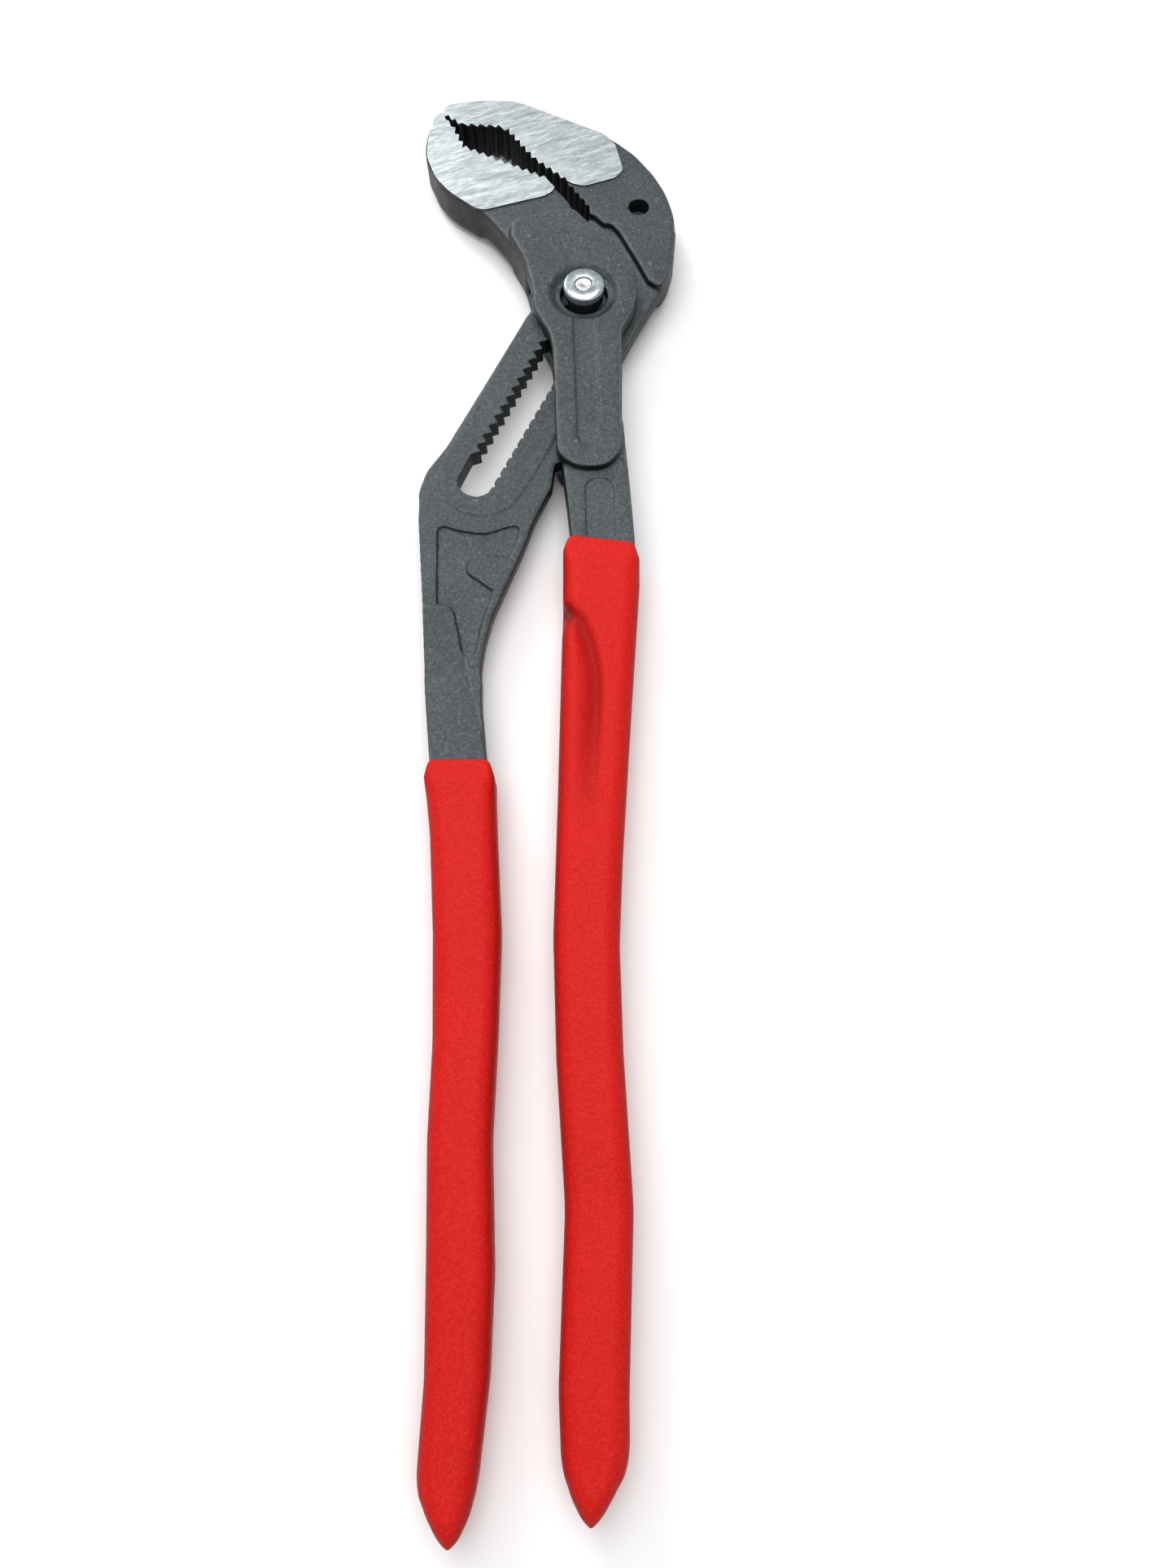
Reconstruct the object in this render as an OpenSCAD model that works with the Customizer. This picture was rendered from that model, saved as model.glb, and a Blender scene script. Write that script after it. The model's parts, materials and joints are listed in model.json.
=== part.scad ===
// Tongue and groove pliers with a push-button box joint, 560 mm long.
// Millimetres. The bolt axis is the Z axis, the back cheek lies on z = 0,
// the head points to +Y and the button faces +Z.

/* [View] */
// Which sub-part to draw

/* [Forgings] */
// Thickness over both cheeks of the box
joint_thickness = 22; // [20:0.5:26]
// Thickness of the jaws, without the ground lands
jaw_thickness = 14.4; // [12:0.2:16]
// Height of each ground land on a jaw
land_height = 0.8; // [0.4:0.1:1.2]
// Thickness of the slotted plate
plate_thickness = 7.7; // [7:0.1:8]
// Gap between the plate and each cheek
plate_gap = 0.35; // [0.3:0.05:0.6]
// Thickness of the box handle between cheek and grip
box_handle_thickness = 15; // [13:0.5:17]
// Thickness of the slotted arm around the raised pad
arm_thickness = 6.9; // [6:0.1:7.5]
// Thickness of the steel inside the grips
core_thickness = 12; // [10:0.5:13]

/* [Jaw teeth] */
// Height of a jaw tooth
tooth_height = 1.9; // [1.2:0.1:2.2]
// How far a tooth leans, as a share of its pitch
tooth_lean = 0.25; // [0:0.05:0.35]

/* [Slot] */
// Angle between the slot and the handle direction, degrees
slot_angle = 25.4; // [25:0.1:26]
// Spacing of the slot's locking teeth
slot_pitch = 5.1; // [4.8:0.05:5.4]
// Number of locking notches
slot_notches = 19; // [16:1:19]
// Depth of a locking notch
slot_depth = 2.9; // [2:0.1:3]
// Clear half width of the slot on its toothed side
slot_left = 5.2; // [5:0.1:5.6]
// Clear half width of the slot on its plain side
slot_right = 6.3; // [6:0.1:6.6]
// Distance from the bolt axis to the closed lower end of the slot
slot_end = 104.6; // [100:0.2:106]

/* [Bolt and button] */
// Radius of the bores through the cheeks
bore_radius = 9.8; // [9.4:0.1:10.4]
// Radius of the counterbore that takes the rear disc
disc_radius = 12; // [11:0.5:14]
// Radius of the bolt's flange, a running fit in the rear bore
flange_radius = 9.72; // [9.3:0.02:9.74]
// Radius of the bolt's shaft under the button
shaft_radius = 7.2; // [6.6:0.1:7.4]
// Radius of the button cap
cap_radius = 8.4; // [7.8:0.1:8.8]
// How far the button stands above the cheek
cap_height = 4; // [4:0.1:5]
// Radius of the riveted pin seen in the button
rivet_radius = 3.7; // [3:0.1:4]
// How far the button is pressed to free the slot
press_travel = 4; // [3.6:0.1:4]

/* [Grips] */
// Thickness of the grip on the box handle
box_grip_thickness = 18; // [16:0.5:20]
// Thickness of the grip on the slotted arm
slide_grip_thickness = 17; // [15:0.5:19]

/* [Hidden] */
mid = joint_thickness / 2;
channel_half = plate_thickness / 2 + plate_gap;
plate_half = plate_thickness / 2;
jaw_half = jaw_thickness / 2;
plate_left = 19.1;
plate_right = 25.5;
steel = [0.42, 0.44, 0.45];
ground = [0.74, 0.75, 0.76];
red = [0.88, 0.16, 0.13];
chrome = [0.86, 0.87, 0.88];
dark = [0.2, 0.2, 0.21];

// ---- outline helpers ----

function unit(v) = v / norm(v);
function flat(list) = [for (part = list) each part];

// Rounds the corner p between its neighbours a and b with radius r.
function corner(a, p, b, r) =
    let (u = unit([a.x, a.y] - [p.x, p.y]), v = unit([b.x, b.y] - [p.x, p.y]),
         h = acos(max(-1, min(1, u * v))) / 2)
    r <= 0 || h > 89 ? [[p.x, p.y]] :
    let (t = min(r / tan(h), 0.48 * norm([a.x - p.x, a.y - p.y]), 0.48 * norm([b.x - p.x, b.y - p.y])),
         c = [p.x, p.y] + unit(u + v) * (t * tan(h) / sin(h)),
         s = [p.x, p.y] + u * t - c,
         turn = (u.x * v.y - u.y * v.x > 0 ? -1 : 1) * (180 - 2 * h),
         n = max(1, ceil(abs(turn) / 14)))
    [for (i = [0 : n]) let (k = turn * i / n) c + [s.x * cos(k) - s.y * sin(k), s.x * sin(k) + s.y * cos(k)]];

// Turns a list of [x, y, corner radius] into an outline with arcs at its corners.
function rounded(list) =
    let (n = len(list))
    flat([for (i = [0 : n - 1]) corner(list[(i + n - 1) % n], list[i], list[(i + 1) % n], list[i].z)]);

// n saw teeth from a to b. A positive height puts them on the left of the way from a to b.
function teeth(a, b, n, height, lean) =
    let (d = (b - a) / n, w = [-d.y, d.x] / norm(d))
    flat([for (i = [0 : n - 1])
        let (v = a + d * i, t = a + d * (i + 0.5 + lean) + w * height) [[v.x, v.y, 0], [t.x, t.y, 0]]]);

// Moves a smooth outline inwards by d; way is 1 when it runs anticlockwise.
function inset(list, d, way) =
    let (n = len(list))
    [for (i = [0 : n - 1])
        let (t = unit(list[(i + 1) % n] - list[(i + n - 1) % n])) list[i] + [-t.y, t.x] * d * way];

// A plate of the given outline, centred on the mid-plane.
module slab(outline, half) {
    translate([0, 0, mid - half]) linear_extrude(2 * half) polygon(outline);
}

// Turns the following so that -Y runs along the slot, away from the head.
module along_slot() {
    rotate([0, 0, -slot_angle]) children();
}

// ---- outlines: [x, y, corner radius] ----

// Outside of the upper jaw from its tip, over the back, to the end of the hook
upper_jaw_outer = [
    [-63.5, 105.5, 0.6], [-61.1, 109.6, 3], [-52.5, 111.4, 20], [-41.4, 112.4, 40], [-31.8, 111.8, 12],
    [-24.2, 108.8, 15], [-6.1, 99.5, 40], [9.1, 92.2, 12], [15.6, 86.8, 12], [22.7, 79.9, 15],
    [30.3, 69.1, 20], [35.7, 58, 20], [38.8, 45.9, 20], [39.3, 34.3, 20], [38.3, 22.7, 15],
    [35.7, 13.1, 8], [31.7, 5.7, 6]
];

// Edge of the upper jaw that faces the box, from the hook to the back teeth
upper_jaw_inner = [
    [27, 9.7, 3], [22.6, 20, 10], [15.1, 35.9, 12], [11.7, 40.6, 3], [8.5, 40.7, 2], [4.6, 45.1, 0],
    [2.3, 45.9, 0]
];

// Teeth of the upper jaw, from the throat to the tip
upper_jaw_teeth = flat([
    teeth([2.4, 50.6], [-4.6, 61.1], 3, 1.5, -tooth_lean),
    teeth([-4.6, 61.1], [-8.1, 65.8], 1, 1.5, -tooth_lean),
    teeth([-8.1, 65.8], [-21, 77.2], 4, tooth_height, -tooth_lean),
    teeth([-21, 77.2], [-33.3, 94.3], 5, tooth_height, -tooth_lean),
    teeth([-33.3, 94.3], [-38.2, 96.7], 1, tooth_height, -tooth_lean),
    teeth([-38.2, 96.7], [-54.4, 97.8], 4, tooth_height, -tooth_lean),
    teeth([-54.4, 97.8], [-63.6, 104.9], 3, 0.9 * tooth_height, -tooth_lean)
]);

// Outside of the lower jaw from its tip, round to the throat
lower_jaw_outer = [
    [-64.9, 105, 0.5], [-67.5, 100.7, 5], [-69.9, 91.8, 12], [-70.5, 83.7, 14], [-69.5, 76.2, 12],
    [-65.4, 66.6, 18], [-59.5, 58, 18], [-51, 51.1, 20], [-42.4, 45.4, 14], [-34.9, 35.5, 25],
    [-27.8, 22.8, 25], [-23.8, 10.1, 15], [-21.7, 2, 0], [-10.1, 2, 0], [0, 30.3, 0],
    [-1.8, 44.4, 2], [-7.8, 53.9, 10], [-13.3, 60.8, 1.2]
];

// Teeth of the lower jaw, from the throat to the tip
lower_jaw_teeth = flat([
    teeth([-15.5, 63.7], [-53.9, 82.9], 10, -tooth_height, tooth_lean),
    teeth([-53.9, 82.9], [-59.4, 95.6], 3, -0.9 * tooth_height, 0.8 * tooth_lean),
    teeth([-59.4, 95.6], [-64.4, 104], 2, -0.5 * tooth_height, 0.8 * tooth_lean)
]);

// Ground land of the lower jaw, apart from its toothed edge
lower_land = [
    [-64.8, 105.1, 0.5], [-67.1, 100.3, 8], [-69.1, 88.8, 20], [-69.2, 77.7, 14], [-64.8, 65.6, 18],
    [-58.5, 57.5, 18], [-47.2, 48.4, 4], [-43, 47.2, 5], [-17.2, 55.1, 4], [-13.9, 57.5, 3], [-12, 62, 0]
];

// Ground land of the upper jaw, apart from its toothed edge
upper_land = [
    [-63.3, 106.1, 0.5], [-60.7, 108.9, 3], [-52.5, 110.6, 20], [-41.4, 111.6, 40], [-31.9, 111, 12],
    [-24.2, 108, 15], [-6.1, 98.7, 40], [8.7, 91.4, 8], [13.7, 85.4, 6], [17.2, 70.2, 3],
    [13.9, 65.6, 4], [0, 60.7, 6], [-5, 62.2, 0], [-50, 90, 0], [-64.5, 103, 0]
];

// Raised cheek that holds the bolt
cheek_outline = [
    [-31.4, 30.6, 5], [-31.6, 39.3, 6], [-9.8, 45.6, 6], [-4.2, 45.6, 5], [6, 33.2, 30], [15.4, 19, 25],
    [21, 7.2, 20], [22.4, -0.5, 12], [20.2, -10.2, 16], [15.6, -18.9, 10], [15.5, -40.8, 60],
    [15.1, -77.4, 10], [9.2, -85.8, 12], [-3, -85.8, 12], [-10.6, -79.4, 8], [-11.4, -59, 60],
    [-12.7, -30.6, 40], [-13.8, -22, 15], [-20.8, -8.2, 14], [-22, 4, 20], [-25.4, 18.4, 25]
];

// Handle below the cheek
box_handle = [
    [-11.1, -61, 0], [-10.1, -71.2, 8], [-8.6, -80.4, 10], [-6.5, -97.8, 30], [-4.8, -115, 30],
    [-5.2, -132.4, 60], [-6, -183.2, 60], [-7, -234.2, 60], [-7.8, -272.8, 40], [-5.8, -315.6, 60],
    [-3.4, -356.3, 30], [-4.5, -402.2, 40], [-4, -422.5, 20], [-2, -434, 5], [8.7, -434, 5],
    [11.2, -422.5, 20], [11.8, -402.2, 40], [13.9, -356.3, 40], [12.1, -315.6, 50], [10.4, -272.8, 40],
    [12.1, -242.3, 60], [14.8, -203.6, 60], [18.9, -142.6, 60], [19.8, -117, 30], [18.1, -91.6, 40],
    [15.8, -61, 0]
];

// Dipped grip of the box handle
box_grip_outline = [
    [-5.5, -114.8, 3], [-7.8, -121.2, 3], [-7.8, -144.6, 40], [-9, -218.9, 80], [-10.1, -269.8, 60],
    [-8.7, -310.5, 60], [-5.5, -356.3, 50], [-7.1, -407.2, 40], [-6, -429.6, 8], [-4.4, -436, 5],
    [-0.6, -441.4, 4], [2.8, -443.4, 4], [7.4, -441.2, 4], [11.8, -436, 5], [14.1, -429.6, 8],
    [14.1, -409.3, 30], [16.1, -356.3, 40], [13.4, -308.5, 50], [12.5, -272.8, 40], [13.9, -242.3, 60],
    [17.4, -190.4, 60], [21.4, -134.4, 30], [21.4, -124.2, 3], [19.2, -117.9, 3]
];

// Slotted arm and its handle
slide_arm_outline = [
    [-23.2, -4.3, 0], [-55.1, -71.4, 10], [-62.3, -82.6, 12], [-64.9, -91.6, 12], [-64.4, -105.8, 30],
    [-61.2, -140.5, 60], [-58, -180.2, 60], [-54.9, -208.7, 30], [-52, -232.2, 60], [-48.4, -266.8, 60],
    [-47.1, -305.4, 60], [-47.7, -336, 50], [-46.4, -371.6, 40], [-45.4, -402.2, 40],
    [-46.2, -431, 10], [-43.4, -440.5, 5], [-36, -440.5, 5], [-32.8, -431, 10],
    [-29.8, -402.2, 40], [-29.4, -371.6, 40], [-30.8, -336, 50], [-30.6, -305.4, 60],
    [-30.2, -266.8, 60], [-32.2, -232.2, 60], [-34.6, -206.6, 30], [-37.2, -183.2, 30],
    [-37.8, -168, 25], [-36.8, -158.8, 25], [-34.2, -147.1, 20], [-23.6, -119.2, 30],
    [-18.6, -103.8, 20], [-12.4, -89.8, 1.5], [-11.8, -82.9, 2], [-10.9, -77.6, 0], [-12, -64, 0]
];

// Part of the slotted plate that runs through the box and into the upper jaw
plate_outline = [
    [-52, -68, 0], [-17.25, 8.2, 0], [2.1, 46.4, 0], [8, 60, 0], [33, 52, 0], [36, 20, 0],
    [34.7, 11.2, 0], [31.2, 4.8, 0], [22.2, -12.7, 0], [-8.4, -78.3, 0], [-24, -84, 0]
];

// Dipped grip of the slotted arm
slide_grip_outline = [
    [-54.9, -206.6, 3], [-56.6, -212.8, 3], [-53.8, -233.2, 40], [-51.1, -268.8, 60],
    [-49.5, -305.4, 60], [-49.8, -336, 50], [-48.4, -371.6, 50], [-47.4, -404.2, 40],
    [-48.6, -434.4, 8], [-47.4, -440.8, 6], [-43.2, -446.4, 4], [-38.6, -449, 4], [-34.8, -446.4, 4],
    [-31.6, -440.8, 6], [-30.8, -434.4, 8], [-27.8, -404.2, 40], [-27.2, -374.6, 50], [-29, -336, 50],
    [-28.1, -302.4, 60], [-27.8, -268.8, 60], [-30.2, -233.2, 40], [-31.4, -212.8, 3],
    [-33.6, -206.6, 3]
];

// Sunken panel in the slotted arm
pocket_outline = [
    [-56.9, -107.2, 2.5], [-48.4, -110.2, 8], [-38.3, -111.9, 12], [-28.8, -108.4, 8],
    [-24.6, -108, 2.5], [-26.4, -116.4, 8], [-34.1, -135.6, 12], [-38.5, -151.9, 12],
    [-40.4, -164.3, 2.4], [-45, -164.1, 2.4], [-48.8, -145.9, 6], [-51.3, -142.9, 3],
    [-55.5, -142.5, 1]
];

// Raised tongue that crosses the panel
boss_outline = [
    [-45, -128.5, 3], [-43.4, -120.5, 4], [-28.4, -122, 2], [-25.1, -123.2, 0], [-30.9, -137.3, 0],
    [-35.1, -136, 3]
];

// ---- box arm: lower jaw, cheeks and right handle in one forging ----

// Space inside the box that the plate slides and swings in
module plate_channel() {
    half = channel_half;
    wall = plate_left + 0.4;
    right = plate_right + 0.5;
    translate([0, 0, mid - half]) linear_extrude(2 * half) along_slot() polygon([
        [-wall, 110], [-wall, 10.6], [-52, -30], [-60, -110], [right, -110], [right, 110]]);
}

// Long recessed band on the front cheek
module cheek_band() {
    band = rounded([[-4.7, -11, 0], [-2.6, -73.7, 5], [2.2, -78.2, 5], [7, -73.7, 5], [5, -11, 0]]);
    translate([0, 0, joint_thickness - 0.6]) linear_extrude(2) polygon(band);
}

// Oval recess on the box handle
module handle_oval() {
    translate([0, 0, mid + box_handle_thickness / 2 - 0.6]) linear_extrude(2)
        polygon(rounded([[0.3, -88.6, 5.4], [11.7, -88.6, 5.4], [12.5, -119.6, 5.4], [1.1, -119.6, 5.4]]));
}

module box_arm() {
    jaw = rounded(concat(lower_jaw_outer, lower_jaw_teeth));
    land = rounded(lower_land);
    color(steel) difference() {
        union() {
            slab(jaw, jaw_half);
            slab(rounded(cheek_outline), mid);
            intersection() {
                slab(rounded(box_handle), box_handle_thickness / 2);
                translate([-30, -123, -5]) cube([60, 80, 40]);
            }
            intersection() {
                slab(rounded(box_handle), core_thickness / 2);
                translate([-30, -450, -5]) cube([60, 328, 40]);
            }
            intersection() {
                slab(jaw, jaw_half + land_height);
                slab(land, mid);
            }
        }
        plate_channel();
        cheek_band();
        handle_oval();
        // bores for the bolt, and the counterbore of the rear disc
        translate([0, 0, -1]) cylinder(r = bore_radius, h = joint_thickness + 2, $fn = 96);
        translate([0, 0, -1]) cylinder(r = disc_radius, h = 2.2, $fn = 96);
        // recess round the button
        translate([0, 0, joint_thickness - 2.4]) cylinder(r1 = 11.8, r2 = 14.7, h = 2.42, $fn = 96);
    }
}

// ---- slotted arm: upper jaw with its hook, plate and left handle ----

// The toothed slot, in its own frame: the head is towards +Y
module slot_shape() {
    first = 8.6;
    left = flat([for (i = [0 : slot_notches - 1])
        let (y = first - 1.2 - i * slot_pitch)
        [[-slot_left, y], [-slot_left - slot_depth, y - 0.57 * slot_pitch]]]);
    foot = [-slot_left - 2.4, -slot_end + 6.4];
    right = [for (i = [0 : slot_notches - 1]) let (y = -slot_end + 8.2 + i * slot_pitch)
        each [[slot_right, y - 1.1], [slot_right + 1.5, y], [slot_right, y + 1.1]]];
    polygon(concat(
        [[-slot_left, first]], left, [foot],
        [for (i = [0 : 8]) let (k = 200 + i * 17.5)
            [-0.6 + 7.2 * cos(k), -slot_end + 6.6 + 6.6 * sin(k)]],
        right, [[slot_right, first - 3], [slot_right - 3, first]]));
}

// Raised pad round the slot
module slot_pad(half) {
    translate([0, 0, mid - half]) linear_extrude(2 * half) along_slot()
        polygon(rounded([[-18.4, 20, 0], [-17.6, -90, 8], [-14, -106, 14], [1, -114.6, 16],
            [17, -106, 14], [18.6, -88, 10], [18.6, 20, 0]]));
}

module slide_arm() {
    jaw = rounded(concat(upper_jaw_outer, upper_jaw_inner, upper_jaw_teeth));
    arm = rounded(slide_arm_outline);
    pocket = rounded(pocket_outline);
    color(steel) difference() {
        union() {
            slab(jaw, jaw_half);
            intersection() {
                slab(jaw, jaw_half + land_height);
                slab(rounded(upper_land), mid);
            }
            slab(rounded(plate_outline), arm_thickness / 2);
            intersection() {
                slab(rounded(plate_outline), plate_half);
                translate([-60, -40, -5]) cube([120, 120, 40]);
            }
            slab(arm, arm_thickness / 2);
            slot_pad(plate_half);
            intersection() {
                slab(arm, plate_half);
                translate([-70, -171, -5]) cube([60, 28, 40]);
            }
            intersection() {
                slab(arm, core_thickness / 2 - 0.7);
                translate([-70, -460, -5]) cube([60, 289, 40]);
            }
        }
        translate([0, 0, -5]) linear_extrude(40) along_slot() slot_shape();
        // sunken panel on both faces, with the tongue left standing
        for (z = [mid - plate_half - 1, mid + arm_thickness / 2 - 1]) difference() {
            translate([0, 0, z]) linear_extrude(plate_half - arm_thickness / 2 + 2) polygon(pocket);
            translate([0, 0, -5]) linear_extrude(40) polygon(rounded(boss_outline));
        }
        // blind hole in the jaw
        translate([23.7, 49.6, mid + jaw_half - 7]) cylinder(r = 4.4, h = 12, $fn = 64);
    }
}

// ---- grips ----

// A dipped sleeve: a slab with stepped, rounded edges
module sleeve(list, half, way) {
    outline = rounded(list);
    slab(outline, half - 3.2);
    slab(inset(outline, 0.7, way), half - 1.4);
    slab(inset(outline, 2, way), half);
}

module box_arm_grip() {
    color(red) difference() {
        sleeve(box_grip_outline, box_grip_thickness / 2, 1);
        intersection() {
            slab(rounded(box_handle), box_handle_thickness / 2);
            translate([-30, -123, -5]) cube([60, 80, 40]);
        }
        slab(rounded(box_handle), core_thickness / 2);
    }
}

module slide_arm_grip() {
    color(red) difference() {
        sleeve(slide_grip_outline, slide_grip_thickness / 2, 1);
        slab(rounded(slide_arm_outline), core_thickness / 2 - 0.7);
    }
}

// ---- bolt, button and spring ----

module hinge_bolt() {
    low = mid - channel_half;
    block_top = low + press_travel + 0.1;
    neck_top = mid + plate_half + press_travel + 0.5;
    color(dark) difference() {
        union() {
            translate([0, 0, low - 1.4]) cylinder(r = flange_radius, h = 1.4, $fn = 96);
            intersection() {
                translate([0, 0, low]) cylinder(r = flange_radius - 0.2, h = block_top - low, $fn = 96);
                translate([0, 0, low]) linear_extrude(block_top - low) along_slot() polygon([
                    [2.5, -8], [slot_right - 0.4, -5], [slot_right - 0.4, 5], [slot_right - 2.8, 7.2],
                    [-slot_left + 2.4, 7.2],
                    for (i = [0 : 2]) each [[-slot_left + 0.3, 7.4 - 1.2 - i * slot_pitch],
                        [-slot_left + 2.4, 7.4 - 1.2 - (i + 0.57) * slot_pitch]],
                    [-slot_left + 2.4, -8]]);
            }
            intersection() {
                translate([0, 0, low]) cylinder(r = shaft_radius, h = neck_top - low, $fn = 96);
                along_slot() translate([-slot_left + 0.4, -10, low])
                    cube([slot_left + slot_right - 0.8, 20, neck_top - low]);
            }
            translate([0, 0, neck_top - 0.01])
                cylinder(r = shaft_radius, h = joint_thickness + 0.4 - neck_top + 0.01, $fn = 96);
        }
        // blind bore of the spring, and the hole of the rivet
        translate([0, 0, -1]) cylinder(r = 3.4, h = 17.6, $fn = 64);
        translate([0, 0, joint_thickness - 3.5]) cylinder(r = rivet_radius - 0.7, h = 10, $fn = 64);
    }
}

module push_button() {
    base = joint_thickness + 0.4;
    top = joint_thickness + cap_height;
    color(chrome) difference() {
        union() {
            translate([0, 0, base]) cylinder(r = cap_radius, h = top - base - 0.5, $fn = 96);
            translate([0, 0, top - 0.51]) cylinder(r1 = cap_radius, r2 = cap_radius - 0.5, h = 0.51, $fn = 96);
        }
        translate([0, 0, base - 1]) cylinder(r = rivet_radius - 0.7, h = 8, $fn = 64);
        translate([0, 0, top - 1.2]) cylinder(r = rivet_radius, h = 2, $fn = 64);
    }
}

module button_rivet() {
    top = joint_thickness + cap_height;
    color(chrome) {
        translate([0, 0, joint_thickness - 3.4]) cylinder(r = rivet_radius - 0.7, h = 6.3, $fn = 64);
        translate([0, 0, top - 1.2]) cylinder(r = rivet_radius, h = 1.1, $fn = 64);
    }
}

// Coil spring in the bore of the bolt
module button_spring() {
    coils = 9;
    low = 3.2;
    high = 16.1;
    color(chrome) for (i = [0 : coils - 1]) {
        step = (high - low) / (coils - 1);
        translate([0, 0, low + i * step]) rotate_extrude($fn = 48) translate([2.6, 0]) circle(r = 0.4, $fn = 16);
        if (i < coils - 1) rotate([0, 0, 40 * i]) translate([2.6, 0, low + i * step])
            cylinder(r = 0.38, h = step, $fn = 16);
    }
}

module spring_seat() {
    color(dark) translate([0, 0, 2]) {
        cylinder(r = 3.2, h = 0.75, $fn = 64);
        cylinder(r = 1.9, h = 2, $fn = 48);
    }
}

module thrust_washer() {
    color(dark) translate([0, 0, 1.3]) cylinder(r = 3.2, h = 0.6, $fn = 64);
}

module rear_disc() {
    color(dark) cylinder(r = disc_radius - 0.05, h = 1.1, $fn = 96);
}

box_arm();
slide_arm();
box_arm_grip();
slide_arm_grip();
hinge_bolt();
push_button();
button_rivet();
button_spring();
spring_seat();
thrust_washer();
rear_disc();
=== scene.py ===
"""Looks of the tongue and groove pliers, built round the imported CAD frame."""

import json
import math

import bmesh
import bpy
import numpy as np
import openvdb as vdb
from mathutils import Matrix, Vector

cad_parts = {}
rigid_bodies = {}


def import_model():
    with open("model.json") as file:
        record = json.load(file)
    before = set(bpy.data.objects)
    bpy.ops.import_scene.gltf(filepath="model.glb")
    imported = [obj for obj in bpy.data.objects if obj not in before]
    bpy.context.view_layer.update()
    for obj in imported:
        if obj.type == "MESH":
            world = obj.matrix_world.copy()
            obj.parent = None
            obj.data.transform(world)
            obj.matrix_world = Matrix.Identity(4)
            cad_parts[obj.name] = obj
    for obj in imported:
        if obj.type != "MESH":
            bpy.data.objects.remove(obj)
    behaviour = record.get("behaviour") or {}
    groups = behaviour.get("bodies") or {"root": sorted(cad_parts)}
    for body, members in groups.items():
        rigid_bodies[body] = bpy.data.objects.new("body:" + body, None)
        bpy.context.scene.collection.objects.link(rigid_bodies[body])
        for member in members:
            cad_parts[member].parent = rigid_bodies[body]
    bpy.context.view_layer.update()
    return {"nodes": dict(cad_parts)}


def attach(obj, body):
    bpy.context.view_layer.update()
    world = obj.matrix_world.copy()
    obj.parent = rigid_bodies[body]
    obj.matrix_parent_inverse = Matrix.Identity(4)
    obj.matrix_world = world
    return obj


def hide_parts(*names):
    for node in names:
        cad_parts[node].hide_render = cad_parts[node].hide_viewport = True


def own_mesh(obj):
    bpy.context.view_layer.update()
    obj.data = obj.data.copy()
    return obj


for left_over in list(bpy.data.objects):
    bpy.data.objects.remove(left_over)
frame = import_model()

MM = 0.001
VOXEL = 0.4  # mm, of the forgings' surfaces
GRIP_VOXEL = 0.5
MID = 11.0  # mm, height of the plane that the tool is symmetric about


# ---- solids as distance fields, in millimetres ----


def node_triangles(name):
    """Vertices in millimetres and triangles of a CAD node."""
    mesh = frame["nodes"][name].data
    mesh.calc_loop_triangles()
    faces = np.zeros(len(mesh.loop_triangles) * 3, np.int32)
    mesh.loop_triangles.foreach_get("vertices", faces)
    return vertex_values(mesh, "co") / MM, faces.reshape(-1, 3).astype(np.uint32)


def level_set(points, faces, reach, voxel=VOXEL):
    """Distance field of a closed mesh, exact up to reach on both sides of it."""
    shape = {"triangles" if faces.shape[1] == 3 else "quads": faces}
    return vdb.FloatGrid.createLevelSetFromPolygons(
        points.astype(np.float32),
        transform=vdb.createLinearTransform(voxelSize=voxel),
        halfWidth=reach / voxel + 3,
        **shape,
    )


def forged(points, faces, convex, concave):
    """The solid with its convex edges rounded to one radius and its corners filled to another."""
    grid = level_set(points, faces, convex)
    for offset, reach in ((-convex, convex + concave), (convex + concave, concave), (-concave, 0)):
        grid = level_set(*grid.convertToQuads(isovalue=offset), reach)
    return grid


def dense(grid, low, size):
    """The field as an array that starts at voxel low."""
    out = np.zeros(size, np.float32)
    grid.copyToArray(out, ijk=low)
    return out


def value_at(field, points):
    """The field between its voxels, at points counted in voxels."""
    whole = np.floor(points).astype(int)
    part = points - whole
    out = np.zeros(len(points))
    for corner in np.ndindex(2, 2, 2):
        share = np.prod(np.where(corner, part, 1 - part), axis=1)
        out += share * field[tuple((whole + corner).T)]
    return out


def polygonise(field, low, voxel, adaptivity):
    grid = vdb.FloatGrid(float(np.abs(field).max()))
    grid.copyFromArray(field, ijk=low)
    grid.transform = vdb.createLinearTransform(voxelSize=voxel)
    grid.gridClass = vdb.GridClass.LEVEL_SET
    return grid.convertToPolygons(isovalue=0, adaptivity=adaptivity)


def editable(node):
    """A CAD node's mesh with its faces joined along their edges."""
    bm = bmesh.new()
    bm.from_mesh(frame["nodes"][node].data)
    bmesh.ops.remove_doubles(bm, verts=bm.verts, dist=1e-6)
    return bm


def outline_of(name, z):
    """The longest closed outline of a CAD node's section at height z, in millimetres."""
    bm = editable(name)
    cut = bmesh.ops.bisect_plane(
        bm,
        geom=bm.verts[:] + bm.edges[:] + bm.faces[:],
        plane_co=(0, 0, z * MM),
        plane_no=(0, 0, 1),
    )["geom_cut"]
    edges = {e for e in cut if isinstance(e, bmesh.types.BMEdge)}
    loops = []
    while edges:
        edge = edges.pop()
        chain, end = [edge.verts[0], edge.verts[1]], edge.verts[1]
        while True:
            step = next((e for e in end.link_edges if e in edges), None)
            if step is None:
                break
            edges.discard(step)
            end = step.other_vert(end)
            chain.append(end)
        loops.append(np.array([v.co[:2] for v in chain[:-1]]) / MM)
    bm.free()
    return max(loops, key=lambda p: np.linalg.norm(np.diff(p, axis=0), axis=1).sum())


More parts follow.
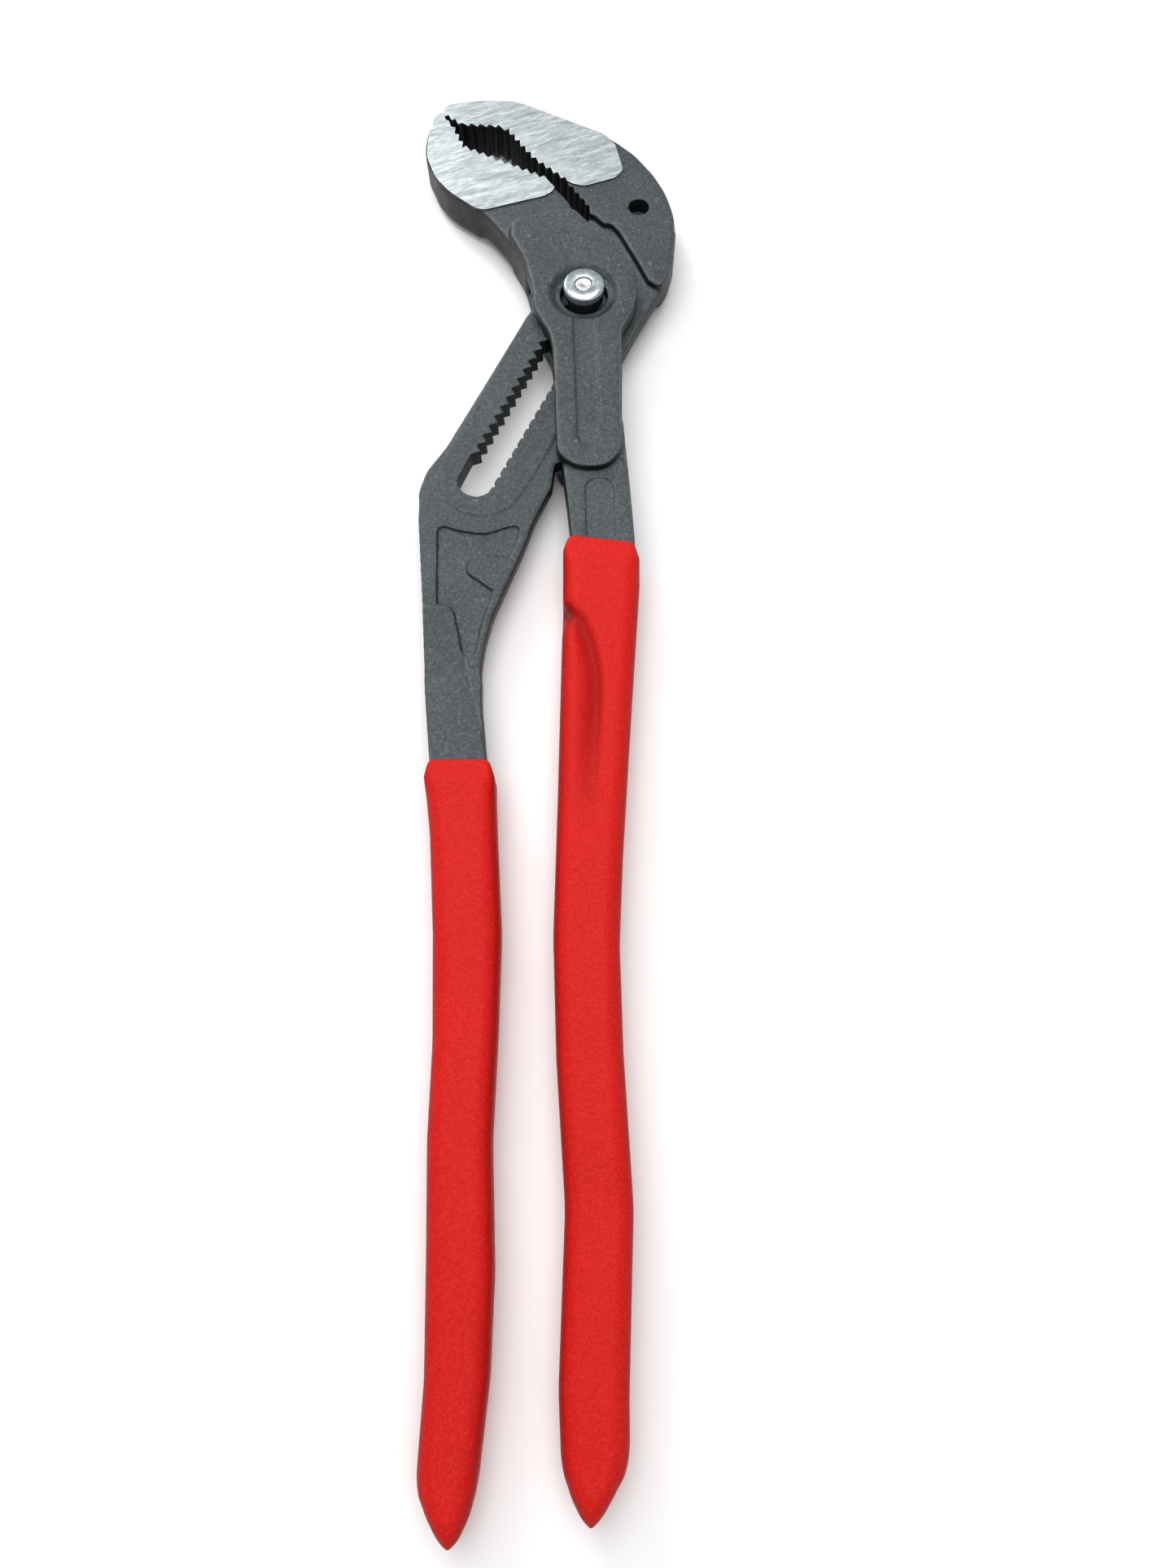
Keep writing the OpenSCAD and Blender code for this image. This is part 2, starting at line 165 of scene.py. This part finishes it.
def distance_2d(x, y, points, closed=True):
    """Distance to a line through points, negative inside it if it is closed."""
    best = np.full(np.broadcast(x, y).shape, 1e9, np.float32)
    inside = np.zeros(best.shape, bool)
    ends = np.roll(points, -1, 0) if closed else points[1:]
    for a, b in zip(points, ends):
        dx, dy = b - a
        long = dx * dx + dy * dy
        if long < 1e-9:
            continue
        t = np.clip(((x - a[0]) * dx + (y - a[1]) * dy) / long, 0, 1)
        best = np.minimum(best, (x - a[0] - t * dx) ** 2 + (y - a[1] - t * dy) ** 2)
        if closed and dy:
            crossing = ((a[1] > y) != (b[1] > y)) & (x < a[0] + (y - a[1]) * dx / dy)
            inside ^= crossing
    best = np.sqrt(best)
    return np.where(inside, -best, best) if closed else best


def smoothstep(x, low, high):
    t = np.clip((x - low) / (high - low), 0, 1)
    return t * t * (3 - 2 * t)


def smooth_max(a, b, width):
    """The larger of two fields, with a rounded change between them."""
    return np.maximum(a, b) + np.maximum(width - np.abs(a - b), 0) ** 2 / (4 * width)


def grooved(x, y, line, depth, left, right):
    """Depth of a groove along a line that runs down, wider on one of its sides."""
    line = np.array(line)
    away = distance_2d(x, y, line, False)
    centre = np.interp(-y, -line[:, 1], line[:, 0])
    return depth * np.exp(-((away / np.where(x < centre, left, right)) ** 2))


# ---- meshes ----


def add_object(name, mesh):
    obj = bpy.data.objects.new(name, mesh)
    bpy.context.scene.collection.objects.link(obj)
    return obj


def from_bmesh(name, bm, smooth_below=None):
    """An object from bm; edges flatter than smooth_below degrees are shaded smooth."""
    mesh = bpy.data.meshes.new(name)
    bm.to_mesh(mesh)
    bm.free()
    if "custom_normal" in mesh.attributes:
        mesh.attributes.remove(mesh.attributes["custom_normal"])
    mesh.polygons.foreach_set("use_smooth", [smooth_below is not None] * len(mesh.polygons))
    if smooth_below is not None:
        mesh.set_sharp_from_angle(angle=math.radians(smooth_below))
    return add_object(name, mesh)


def new_mesh(name, points, faces):
    """An object from points in millimetres and arrays of triangles and quads."""
    mesh = bpy.data.meshes.new(name)
    counts = np.concatenate([np.full(len(f), f.shape[1], np.int32) for f in faces])
    corners = np.concatenate([f.astype(np.int32).ravel() for f in faces])
    mesh.vertices.add(len(points))
    mesh.vertices.foreach_set("co", (points * MM).astype(np.float32).ravel())
    mesh.loops.add(len(corners))
    mesh.loops.foreach_set("vertex_index", corners)
    mesh.polygons.add(len(counts))
    mesh.polygons.foreach_set("loop_start", np.concatenate([[0], np.cumsum(counts)[:-1]]))
    mesh.update(calc_edges=True)
    mesh.validate()
    mesh.polygons.foreach_set("use_smooth", [True] * len(mesh.polygons))
    bm = bmesh.new()
    bm.from_mesh(mesh)
    bmesh.ops.recalc_face_normals(bm, faces=bm.faces)
    bm.to_mesh(mesh)
    bm.free()
    return add_object(name, mesh)


def paint(obj, name, values):
    """A value at each vertex, for a material to read."""
    made = obj.data.attributes.new(name, "FLOAT", "POINT")
    made.data.foreach_set("value", values.astype(np.float32))


def vertex_values(mesh, name):
    """The three numbers that each vertex holds under a name, such as co."""
    values = np.zeros(len(mesh.vertices) * 3, np.float32)
    mesh.vertices.foreach_get(name, values)
    return values.reshape(-1, 3)


def paint_flank_shade(obj):
    """Marks the surfaces that face sideways, for painted shade on them."""
    facing = vertex_values(obj.data, "normal")[:, 2]
    paint(obj, "flank_shade", smoothstep(1 - np.abs(facing), 0.12, 0.6))


def place(obj, body, slot, material, *nodes):
    """The piece takes its material, rides on its body and stands for CAD nodes."""
    if not obj.data.materials:
        obj.data.materials.append(material)
    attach(obj, body)
    if nodes:
        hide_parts(*nodes)
    return obj


def forging(name, node, soft_edges, crisp_lines, crisp_spots, material, body, shave=None, lines=()):
    """A forging from its CAD node: soft outer edges, crisp teeth, bores and recesses.

    soft_edges: (heights of sections, radius of their edges, depth of the soft zone).
    crisp_lines and crisp_spots: places that keep sharp edges.
    shave: half thickness at each Y, where the visual surface tapers between two steps.
    lines: (points, depth, width) of fine forging lines on the front.
    """
    points, faces = node_triangles(node)
    low = np.floor(points.min(0) / VOXEL).astype(int) - 4
    size = np.ceil(points.max(0) / VOXEL).astype(int) + 5 - low
    low, size = tuple(int(v) for v in low), tuple(int(v) for v in size)
    x = ((np.arange(size[0]) + low[0]) * VOXEL)[:, None]
    y = ((np.arange(size[1]) + low[1]) * VOXEL)[None, :]
    crisp = dense(level_set(points, faces, 0), low, size)
    keep = np.zeros(size[:2], np.float32)
    for line, width in crisp_lines:
        away = distance_2d(x, y, np.array(line), False)
        keep = np.maximum(keep, 1 - smoothstep(away, width, width + 3))
    for cx, cy, radius in crisp_spots:
        keep = np.maximum(keep, 1 - smoothstep(np.hypot(x - cx, y - cy), radius, radius + 2))
    field = crisp
    for heights, radius, zone in soft_edges:
        edge = np.min([np.abs(distance_2d(x, y, outline_of(node, h))) for h in heights], axis=0)
        share = (1 - smoothstep(edge, zone, zone + 2)) * (1 - keep)
        soft = dense(forged(points, faces, radius, 0.8), low, size)
        field = field + (soft - field) * share[:, :, None]
    z = (np.arange(size[2]) + low[2]) * VOXEL
    if shave:
        plane = np.abs(z - MID)[None, None, :] - shave(y)[:, :, None]
        field, crisp = np.maximum(field, plane), np.maximum(crisp, plane)
    for line, depth, width in lines:
        groove = grooved(x, y, line, depth, width, width)
        field = field + groove[:, :, None] * (z > MID)
    points, triangles, quads = polygonise(field.astype(np.float32), low, VOXEL, 0.01)
    obj = new_mesh(name, points, [triangles, quads])
    # Marks for the material: edges rounded off the CAD shape, lightened as rubbed steel and painted
    # highlight, and sideways faces, for painted shade.
    lost = -value_at(crisp, vertex_values(obj.data, "co") / MM / VOXEL - np.array(low))
    paint(obj, "wear_and_highlight", np.clip((lost - 0.1) / 0.4, 0, 1))
    paint_flank_shade(obj)
    return place(obj, body, "forged_steel", material, node)


def land(name, node, z, up, material, painted_shade_wall, body):
    """The ground face of a jaw, from the CAD node's face at height z, with near-black side walls as
    painted shade under its edge.
    """
    bm = editable(node)
    bm.normal_update()
    off = [
        f
        for f in bm.faces
        if abs(f.normal.z - up) > 0.01 or abs(f.calc_center_median().z - z * MM) > 1e-5
    ]
    bmesh.ops.delete(bm, geom=off, context="FACES")
    bmesh.ops.dissolve_faces(bm, faces=bm.faces[:])
    made = bmesh.ops.extrude_face_region(bm, geom=bm.faces[:])["geom"]
    for v in made:
        if isinstance(v, bmesh.types.BMVert):
            v.co.z -= up * 1.4 * MM
    bmesh.ops.recalc_face_normals(bm, faces=bm.faces)
    rim = [e for e in bm.edges if all(abs(v.co.z - z * MM) < 1e-6 for v in e.verts)]
    bmesh.ops.bevel(
        bm, geom=rim, offset=0.14 * MM, segments=2, profile=0.6, affect="EDGES", clamp_overlap=True
    )
    bmesh.ops.triangulate(bm, faces=[f for f in bm.faces if len(f.verts) > 4])
    bm.normal_update()
    # Side walls take the second material, near-black as painted shade.
    for f in bm.faces:
        f.material_index = int(abs(f.normal.z) < 0.5)
    obj = from_bmesh(name, bm)
    for each in (material, painted_shade_wall):
        obj.data.materials.append(each)
    return place(obj, body, "forged_steel", material)


def machined(name, node, edge, body, slot, material):
    """A small turned or milled part from its CAD node, with its edges broken."""
    bm = editable(node)
    bmesh.ops.dissolve_limit(bm, angle_limit=math.radians(0.5), verts=bm.verts, edges=bm.edges)
    if edge:
        sharp = [e for e in bm.edges if e.is_manifold and e.calc_face_angle() > math.radians(35)]
        bmesh.ops.bevel(
            bm,
            geom=sharp,
            offset=edge * MM,
            segments=2,
            profile=0.5,
            affect="EDGES",
            clamp_overlap=True,
        )
    bmesh.ops.triangulate(bm, faces=[f for f in bm.faces if len(f.verts) > 4])
    return place(from_bmesh(name, bm, 35), body, slot, material, node)


def grip(name, node, half, top, tip, crease_and_painted_shade, material, body):
    """A dipped sleeve: a soft, thick skin over the steel, with a thin lip and a drawn-out tip."""
    skin = 2.0  # mm, from the outline of the CAD sleeve's front face to its side
    outline = outline_of(node, MID + half - 0.5)
    low = np.append(outline.min(0) - skin, MID - half) / GRIP_VOXEL
    high = np.append(outline.max(0) + skin, MID + half) / GRIP_VOXEL
    low, high = np.floor(low).astype(int) - 4, np.ceil(high).astype(int) + 5
    x, y, z = np.meshgrid(
        *[np.arange(a, b) * GRIP_VOXEL for a, b in zip(low, high)], indexing="ij", sparse=True
    )
    side = distance_2d(x[:, :, 0], y[:, :, 0], outline)[:, :, None] - skin
    point = (np.abs(x - tip[0]) - (y - tip[1])) / math.sqrt(2)
    side = smooth_max(side, point, 1.5 + 7 * smoothstep(np.abs(x - tip[0]), 1.5, 8))
    below = top - y
    radius = 1.6 + 4.6 * smoothstep(below, 1, 16)
    thick = half - 0.35 * (1 - smoothstep(below, 5, 9)) + 0 * side
    face = np.abs(z - MID) - thick
    a, b = side + radius, face + radius
    field = np.minimum(np.maximum(a, b), 0) + np.hypot(np.maximum(a, 0), np.maximum(b, 0)) - radius
    for line, depth, left, right, fade in crease_and_painted_shade:
        groove = grooved(x[:, :, 0], y[:, :, 0], line, depth, left, right)[:, :, None]
        left_over = 1 - smoothstep(-y, fade[0], fade[1])
        field = field + groove * left_over * smoothstep(z, MID - 3, MID + 3)
    field = np.clip(field, -2, 2).astype(np.float32)
    points, triangles, quads = polygonise(field, tuple(int(v) for v in low), GRIP_VOXEL, 0.0)
    obj = new_mesh(name, points, [triangles, quads])
    paint_flank_shade(obj)
    # Painted shade along the crease on the front, fading down the handle.
    at = vertex_values(obj.data, "co").T / MM
    dark = np.zeros(len(at[0]), np.float32)
    for line, _, left, right, fade in crease_and_painted_shade:
        shade = grooved(at[0], at[1], line, 1, left, right) * (1 - smoothstep(-at[1], fade[0], fade[1]))
        dark = np.maximum(dark, shade * (at[2] > MID))
    paint(obj, "crease_and_painted_shade", dark)
    return place(obj, body, "dipped_grip", material, node)


def turned(name, profile, body, slot, material, *nodes, steps=128):
    """A turned piece about the bolt axis from (radius, height) points in millimetres."""
    bm = bmesh.new()
    rings = []
    for r, z in profile:
        if r < 1e-6:
            rings.append([bm.verts.new((0, 0, z * MM))] * steps)
            continue
        rings.append(
            [
                bm.verts.new((r * MM * math.cos(k), r * MM * math.sin(k), z * MM))
                for k in (2 * math.pi * i / steps for i in range(steps))
            ]
        )
    for one, two in zip(rings, rings[1:]):
        for i in range(steps):
            j = (i + 1) % steps
            corners = list(dict.fromkeys([one[i], one[j], two[j], two[i]]))
            bm.faces.new(corners)
    bmesh.ops.recalc_face_normals(bm, faces=bm.faces)
    return place(from_bmesh(name, bm, 40), body, slot, material, *nodes)


def arc(cx, cz, radius, start, end, steps=6):
    """Points of a profile's rounded edge."""
    angles = [math.radians(start + (end - start) * i / steps) for i in range(steps + 1)]
    return [(cx + radius * math.cos(k), cz + radius * math.sin(k)) for k in angles]


# ---- materials ----


class Shader:
    """A small helper to write node materials in few lines."""

    def __init__(self, name, colour, roughness, metallic=0.0, specular=0.5):
        self.material = bpy.data.materials.new(name)
        self.material.use_nodes = True
        self.tree = self.material.node_tree
        self.bsdf = self.tree.nodes["Principled BSDF"]
        self.bsdf.inputs["Base Color"].default_value = (*colour, 1)
        self.bsdf.inputs["Roughness"].default_value = roughness
        self.bsdf.inputs["Metallic"].default_value = metallic
        self.bsdf.inputs["Specular IOR Level"].default_value = specular
        self.place = self.node("ShaderNodeTexCoord").outputs["Object"]

    def node(self, kind, **values):
        made = self.tree.nodes.new(kind)
        for key, value in values.items():
            setattr(made, key, value)
        return made

    def link(self, a, b):
        self.tree.links.new(a, b)

    def mapped(self, scale=(1, 1, 1), turn=0.0):
        """Object coordinates turned about Z, then stretched."""
        rotated = self.node("ShaderNodeMapping")
        rotated.inputs["Rotation"].default_value = (0, 0, math.radians(turn))
        self.link(self.place, rotated.inputs["Vector"])
        made = self.node("ShaderNodeMapping")
        made.inputs["Scale"].default_value = scale
        self.link(rotated.outputs["Vector"], made.inputs["Vector"])
        return made.outputs["Vector"]

    def noise(self, size, detail=3.0, rough=0.55, vector=None):
        """Noise whose lumps are about size metres wide."""
        made = self.node("ShaderNodeTexNoise")
        made.inputs["Scale"].default_value = 1 / size
        made.inputs["Detail"].default_value = detail
        made.inputs["Roughness"].default_value = rough
        self.link(vector or self.place, made.inputs["Vector"])
        return made.outputs["Fac"]

    def ramp(self, fac, stops):
        made = self.node("ShaderNodeValToRGB")
        elements = made.color_ramp.elements
        while len(elements) < len(stops):
            elements.new(0.5)
        for element, (position, colour) in zip(elements, stops):
            element.position = position
            value = colour if isinstance(colour, tuple) else (colour,) * 3
            element.color = (*value, 1)
        self.link(fac, made.inputs["Fac"])
        return made.outputs["Color"]

    def mix(self, fac, a, b, blend="MIX"):
        made = self.node("ShaderNodeMix", data_type="RGBA", blend_type=blend)
        for socket, value in ((made.inputs[0], fac), (made.inputs[6], a), (made.inputs[7], b)):
            if isinstance(value, bpy.types.NodeSocket):
                self.link(value, socket)
            elif isinstance(value, tuple):
                socket.default_value = (*value, 1)
            else:
                socket.default_value = value
        return made.outputs[2]

    def maths(self, operation, a, b):
        made = self.node("ShaderNodeMath", operation=operation)
        for socket, value in zip(made.inputs, (a, b)):
            if isinstance(value, bpy.types.NodeSocket):
                self.link(value, socket)
            else:
                socket.default_value = value
        return made.outputs["Value"]

    def bump(self, height, distance, strength=1.0, after=None):
        made = self.node("ShaderNodeBump")
        made.inputs["Distance"].default_value = distance
        made.inputs["Strength"].default_value = strength
        self.link(height, made.inputs["Height"])
        if after:
            self.link(after, made.inputs["Normal"])
        return made.outputs["Normal"]

    def colour(self, socket):
        self.link(socket, self.bsdf.inputs["Base Color"])

    def roughness(self, socket):
        self.link(socket, self.bsdf.inputs["Roughness"])

    def normal(self, socket):
        self.link(socket, self.bsdf.inputs["Normal"])


def forged_material():
    """Phosphated forging: dark grey, finely grained, edges lightened as rubbed steel and painted
    highlight, flanks browner and darker as painted shade.
    """
    s = Shader("forged_grey", (0.14, 0.15, 0.155), 0.5, metallic=0.15, specular=0.35)
    broad = s.ramp(s.noise(0.03, 2), [(0.3, (0.040, 0.050, 0.055)), (0.75, (0.057, 0.071, 0.077))])
    grain = s.ramp(s.noise(0.0012, 4, 0.75), [(0.36, 0.58), (0.5, 0.96), (0.64, 1.55)])
    tone = s.mix(1.0, broad, grain, "MULTIPLY")
    specks = s.ramp(s.noise(0.0016, 1, 0.4), [(0.69, 0.0), (0.75, 1.0)])
    tone = s.mix(s.maths("MULTIPLY", specks, 0.16), tone, (0.42, 0.43, 0.44))
    # Lighter convex edges: partly rubbed steel, partly a painted highlight.
    wear_and_highlight = s.node("ShaderNodeAttribute", attribute_name="wear_and_highlight").outputs["Fac"]
    rubbed_and_highlit = s.maths("MULTIPLY", wear_and_highlight, s.ramp(s.noise(0.004, 4, 0.7), [(0.35, 0.35), (0.65, 1.0)]))
    tone = s.mix(rubbed_and_highlit, tone, (0.18, 0.19, 0.195))
    # Painted shade: surfaces that face sideways are made browner and darker.
    flank_shade = s.node("ShaderNodeAttribute", attribute_name="flank_shade").outputs["Fac"]
    darker = s.mix(1.0, tone, (0.12, 0.1, 0.09), "MULTIPLY")
    tone = s.mix(s.maths("MULTIPLY", flank_shade, 0.95), tone, darker)
    s.colour(tone)
    s.roughness(s.ramp(s.noise(0.0025, 3), [(0.2, 0.42), (0.8, 0.6)]))
    fine = s.bump(s.noise(0.0011, 4, 0.7), 0.00022, 0.8)
    s.normal(s.bump(s.noise(0.005, 3), 0.0006, 0.45, after=fine))
    return s.material


def ground_material():
    """Ground steel of the jaw faces, with short slanting grinding streaks."""
    s = Shader("ground_steel", (0.72, 0.74, 0.75), 0.38, metallic=0.85)
    streaks = s.mapped((0.16, 1, 1), turn=-22)
    fine = s.noise(0.0006, 4, 0.65, streaks)
    wide = s.noise(0.0022, 3, 0.6, streaks)
    short, long = s.ramp(fine, [(0.36, 0.6), (0.62, 1.0)]), s.ramp(wide, [(0.35, 0.78), (0.6, 1.0)])
    tone = s.mix(1.0, short, long, "MULTIPLY")
    s.colour(s.mix(1.0, tone, (0.65, 0.72, 0.75), "MULTIPLY"))
    s.roughness(s.ramp(wide, [(0.2, 0.3), (0.8, 0.48)]))
    s.normal(s.bump(fine, 0.00012, 0.6))
    return s.material


def grip_material():
    """Red dipped plastic with a fine pebbled skin, darker on its sides and along its crease as painted
    shade.
    """
    s = Shader("dipped_red", (0.83, 0.012, 0.008), 0.55, specular=0.1)
    shades = [(0.36, (0.54, 0.009, 0.006)), (0.5, (0.6, 0.012, 0.009)), (0.66, (0.66, 0.018, 0.014))]
    tone = s.ramp(s.noise(0.0009, 3, 0.6), shades)
    broad = s.ramp(s.noise(0.035, 2), [(0.3, 0.93), (0.7, 1.0)])
    tone = s.mix(1.0, tone, broad, "MULTIPLY")
    # Painted shade: the sleeve's sides and its crease are darkened.
    for name, share in (("flank_shade", 0.6), ("crease_and_painted_shade", 0.75)):
        dark = s.node("ShaderNodeAttribute", attribute_name=name).outputs["Fac"]
        darker = s.mix(1.0, tone, (0.5, 0.3, 0.3), "MULTIPLY")
        tone = s.mix(s.maths("MULTIPLY", dark, share), tone, darker)
    s.colour(tone)
    s.roughness(s.ramp(s.noise(0.0013, 3), [(0.3, 0.42), (0.7, 0.6)]))
    pebble = s.bump(s.noise(0.0011, 2.5, 0.5), 0.00025, 0.55)
    s.normal(s.bump(s.noise(0.02, 2), 0.0008, 0.3, after=pebble))
    return s.material


def chrome_material():
    """Bright plated steel, slightly scuffed."""
    s = Shader("button_chrome", (0.82, 0.84, 0.86), 0.16, metallic=1.0)
    s.colour(s.ramp(s.noise(0.003, 3), [(0.35, (0.52, 0.61, 0.65)), (0.65, (0.68, 0.76, 0.79))]))
    s.roughness(s.ramp(s.noise(0.0015, 4, 0.7), [(0.35, 0.16), (0.75, 0.27)]))
    s.normal(s.bump(s.noise(0.0012, 2), 0.00002, 0.3))
    return s.material


def rivet_material():
    """The pin's flattened head: duller and dimpled in the middle."""
    s = Shader("riveted_pin", (0.62, 0.64, 0.65), 0.34, metallic=1.0)
    s.colour(s.ramp(s.noise(0.0012, 4, 0.7), [(0.3, 0.42), (0.7, 0.72)]))
    s.roughness(s.ramp(s.noise(0.0009, 3), [(0.3, 0.25), (0.7, 0.5)]))
    s.normal(s.bump(s.noise(0.001, 3), 0.00025, 0.7))
    return s.material


def dark_material():
    """Blackened steel of the bolt."""
    s = Shader("blackened_steel", (0.03, 0.031, 0.033), 0.42, metallic=0.6)
    shades = [(0.3, (0.018, 0.019, 0.02)), (0.7, (0.05, 0.052, 0.055))]
    s.colour(s.ramp(s.noise(0.0015, 4, 0.7), shades))
    s.roughness(s.ramp(s.noise(0.002, 3), [(0.3, 0.35), (0.7, 0.55)]))
    s.normal(s.bump(s.noise(0.0008, 3), 0.0001, 0.5))
    return s.material


STEEL, GROUND, RED = forged_material(), ground_material(), grip_material()
CHROME, RIVET, DARK = chrome_material(), rivet_material(), dark_material()


# ---- pieces ----

# Lines that the pieces below are shaped along, in millimetres
UPPER_TEETH = [(2.4, 50.6), (-8.1, 65.8), (-21, 77.2), (-33.3, 94.3), (-54.4, 97.8), (-63.6, 104.9)]
LOWER_TEETH = [(-7.5, 55), (-15.5, 63.7), (-53.9, 82.9), (-64.4, 104)]
FORGE_LINE = [(-43.8, -165.5), (-40.8, -178.6), (-35.8, -197.8)]
GRIP_CREASE = [
    (-12, -144.5), (-6, -147), (-1, -152), (2.4, -161),
    (4.6, -173), (4.6, -186), (3.6, -206), (3, -235),
]
SLOT_ANGLE = math.radians(25.4)


def along_slot(x, y):
    """A point of the slot's own frame, whose -Y runs along the slot, in the row frame."""
    c, s = math.cos(SLOT_ANGLE), math.sin(SLOT_ANGLE)
    return (x * c + y * s, -x * s + y * c)


def under_lands(y):
    """Half thickness that leaves the lands, which are pieces of their own, off the jaws."""
    return np.where(y > 46.4, 7.35, 12.0)


forging(
    "box_forging",
    "box_arm",
    soft_edges=[((16.5,), 1.1, 2.2), ((21.0,), 1.5, 3.4)],
    crisp_lines=[(LOWER_TEETH, 3.0), ([(0.2, -16), (2.2, -74)], 5.0), ([(6.2, -92), (6.8, -116)], 6.6)],
    crisp_spots=[(0, 0, 15.5)],
    material=STEEL,
    body="box",
    shave=lambda y: np.where(y < -119, 5.6, under_lands(y)),  # thinner where the grip hides it
)
forging(
    "slotted_forging",
    "slide_arm",
    soft_edges=[((14.0, 17.0), 1.2, 2.4)],
    crisp_lines=[(UPPER_TEETH, 3.0), ([along_slot(0, 8), along_slot(0, -98)], 8.5)],
    crisp_spots=[(23.7, 49.6, 5.5)],
    material=STEEL,
    body="arm",
    shave=lambda y: np.where(y < -150, 3.85 + 1.45 * smoothstep(-y, 171, 204), under_lands(y)),
    lines=[(FORGE_LINE, 0.3, 0.6)],
)
for side, height, up in (("front", 19.0, 1), ("back", 3.0, -1)):
    land(f"lower_jaw_land_{side}", "box_arm", height, up, GROUND, DARK, "box")
    land(f"upper_jaw_land_{side}", "slide_arm", height, up, GROUND, DARK, "arm")

grip(
    "box_handle_grip",
    "box_arm_grip",
    9.0,
    -116.0,
    (2.6, -443.0),
    [(GRIP_CREASE, 2.1, 4.4, 2.2, (180, 245))],
    RED,
    "box",
)
grip("slotted_handle_grip", "slide_arm_grip", 8.5, -206.6, (-38.4, -448.6), [], RED, "arm")

turned(
    "button_cap",
    [(0, 24.8), (3.75, 24.8), (3.75, 25.75), *arc(4.0, 25.75, 0.2, 180, 90), (5.2, 25.98)]
    + arc(7.4, 25.0, 1.0, 82, 0)
    + arc(8.1, 22.7, 0.3, 0, -90, 3)
    + [(3.1, 22.4), (3.1, 22.9), (0, 22.9)],
    "bolt",
    "button_chrome",
    CHROME,
    "push_button",
)
turned(
    "button_pin",
    [(0, 25.55), (0.5, 25.6), (1.1, 25.8)]
    + arc(2.9, 25.25, 0.62, 95, 0)
    + [(3.52, 24.9), (2.9, 24.85), (2.9, 18.7), (0, 18.7)],
    "bolt",
    "button_chrome",
    RIVET,
    "button_rivet",
)

machined("bolt", "hinge_bolt", 0.2, "bolt", "dark_steel", DARK)
coil = machined("coil_spring", "button_spring", 0, "seat", "button_chrome", CHROME)
coil_ends = [pick(v.co.z for v in coil.data.vertices) for pick in (min, max)]
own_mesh(coil)
machined("spring_cup", "spring_seat", 0.15, "seat", "dark_steel", DARK)
machined("thrust_ring", "thrust_washer", 0.1, "washer", "dark_steel", DARK)
machined("rear_cover", "rear_disc", 0.25, "washer", "dark_steel", DARK)


# ---- floor, light and camera ----


def studio():
    """A pale floor, a bright surround and soft lights above."""
    bpy.ops.mesh.primitive_plane_add(size=6, location=(0, 0, -0.0006))
    floor = bpy.context.object
    floor.name = "floor"
    s = Shader("pale_floor", (0.95, 0.95, 0.95), 0.8, specular=0.2)
    floor.data.materials.append(s.material)
    world = bpy.data.worlds.new("surround")
    bpy.context.scene.world = world
    world.use_nodes = True
    background = world.node_tree.nodes["Background"]
    background.inputs["Color"].default_value = (1, 1, 1, 1)
    background.inputs["Strength"].default_value = 0.42
    for name, place_, size, power, target in (
        ("key", (-0.15, 0.15, 1.2), 1.1, 11, (0, -0.15, 0)),
        ("back", (-0.6, 0.9, 0.7), 0.4, 7, (0, -0.1, 0)),
        ("fill", (0.3, -0.7, 1.3), 0.8, 3.5, (0, -0.3, 0)),
    ):
        light = bpy.data.lights.new(name, "AREA")
        light.energy, light.size = power, size
        lamp = bpy.data.objects.new(name, light)
        lamp.location = place_
        direction = Vector(target) - Vector(place_)
        lamp.rotation_euler = direction.to_track_quat("-Z", "Y").to_euler()
        bpy.context.scene.collection.objects.link(lamp)


def camera():
    """Above the tool, a little towards its handles."""
    data = bpy.data.cameras.new("camera")
    data.lens, data.sensor_width = 26.005, 36
    data.clip_start, data.clip_end = 0.01, 20
    cam = bpy.data.objects.new("camera", data)
    cam.location = (1.73 * MM, -352.7 * MM, 393.3 * MM)
    cam.rotation_euler = (math.radians(20), 0, 0)
    bpy.context.scene.collection.objects.link(cam)
    bpy.context.scene.camera = cam


studio()
camera()
bpy.context.scene.view_settings.view_transform = "Standard"
